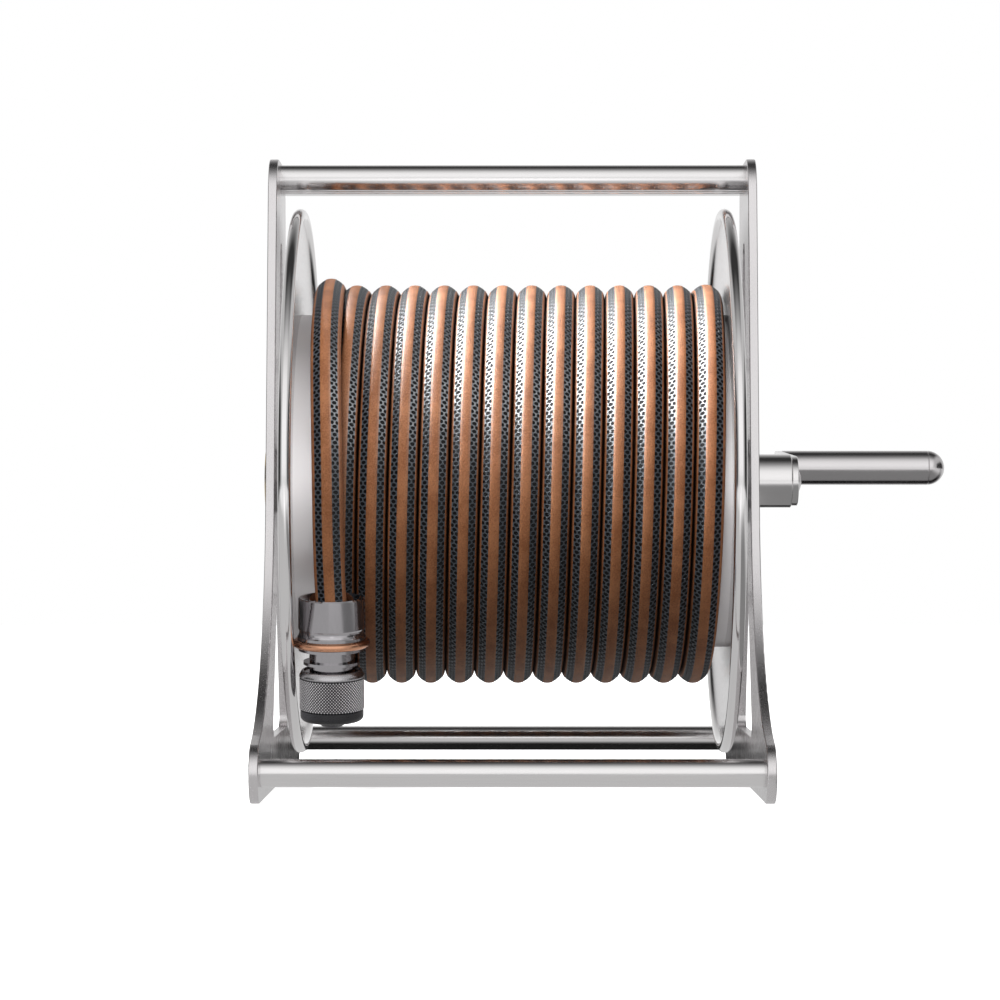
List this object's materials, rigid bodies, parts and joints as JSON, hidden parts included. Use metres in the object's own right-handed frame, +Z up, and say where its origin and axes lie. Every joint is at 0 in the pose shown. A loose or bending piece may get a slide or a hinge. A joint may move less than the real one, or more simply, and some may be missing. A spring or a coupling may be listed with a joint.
{
  "type": "hose reel",
  "caption": "Free-standing crank hose reel: flared stainless side plates on tube rails, a flanged drum wound with striped hose, and a quick-release coupling on its end.",
  "frame": {"origin": "on the floor, midway between the side plates and under the reel's axis", "axes": "+Z up, +X along the reel's axis to the crank, -Y to the front, where the hose comes off"},
  "size_m": [0.4344, 0.3794, 0.383],
  "materials": {
    "plate": "fine satin stainless steel, softened edges",
    "rail": "polished stainless tube",
    "fastener": "stainless, satin",
    "flange": "satin spun stainless disc",
    "flange_rim": "polished rolled rim",
    "structure": "plain stainless, unpolished",
    "brass_part": "turned brass",
    "bush": "natural acetal",
    "seal": "black rubber",
    "crank": "polished stainless",
    "grip": "satin stainless tube",
    "hose": "copper stripes between black ribbed bands",
    "coupling": "polished, dark chrome",
    "knurl": "diamond knurl, satin",
    "accent_ring": "polished copper",
    "bumper": "matt black rubber",
    "spring": "bare spring steel"
  },
  "bodies": {
    "frame": {"side_plate_left": "plate", "side_plate_right": "plate", "top_rail": "rail", "bottom_rail_front": "rail", "bottom_rail_rear": "rail", "top_bar": "rail", "rail_plugs": "fastener", "rail_screws": "fastener", "inlet_fitting": "brass_part", "inlet_nut": "fastener", "thrust_washer_left": "bush", "inlet_seals": "seal", "bearing_housing": "structure", "housing_bolts": "fastener", "bush_right": "bush", "hose_tail": "hose", "clamp_nut": "coupling", "collet": "bush", "copper_ring": "accent_ring", "connector_body": "coupling", "locking_balls": "spring", "sleeve_spring": "spring", "valve_spring": "spring"},
    "reel": {"drum_shell": "structure", "flange_left": "flange", "flange_right": "flange", "flange_rim_left": "flange_rim", "flange_rim_right": "flange_rim", "drum_end_left": "structure", "drum_end_right": "structure", "flange_bolts_left": "fastener", "flange_bolts_right": "fastener", "hub_left": "structure", "bush_left": "bush", "water_joint": "brass_part", "feed_pipe": "brass_part", "root_fitting": "brass_part", "hub_right": "structure", "thrust_washer_right": "bush", "reel_shaft": "structure", "crank_key": "fastener", "crank_hub": "crank", "crank_arm": "crank", "crank_screw": "fastener", "grip_spindle": "fastener", "spindle_nut": "fastener", "hose_coil": "hose"},
    "grip": {"grip_sleeve": "grip", "grip_bushes": "bush", "grip_cap": "grip"},
    "sleeve": {"release_sleeve": "knurl", "end_ring": "bumper"},
    "plunger": {"valve_plunger": "coupling", "valve_seal": "seal"}
  },
  "joints": [
    {"name": "reel_turn", "type": "hinge", "parent": "frame", "child": "reel", "pos_m": [0, 0, 0.186], "axis": [-1, 0, 0], "continuous": true},
    {"name": "grip_turn", "type": "hinge", "parent": "reel", "child": "grip", "pos_m": [0.22, 0.12452, 0.19689], "axis": [1, 0, 0], "continuous": true},
    {"name": "sleeve_pull", "type": "slide", "parent": "frame", "child": "sleeve", "axis": [0, -0.1489, 0.9889], "range_m": [0, 0.003], "stiffness_N_per_m": 1500, "springref_m": -0.003, "deforming": ["sleeve_spring"]},
    {"name": "plunger_push", "type": "slide", "parent": "frame", "child": "plunger", "axis": [0, -0.1489, 0.9889], "range_m": [0, 0.0024], "stiffness_N_per_m": 800, "springref_m": -0.002, "deforming": ["valve_spring"]}
  ]
}
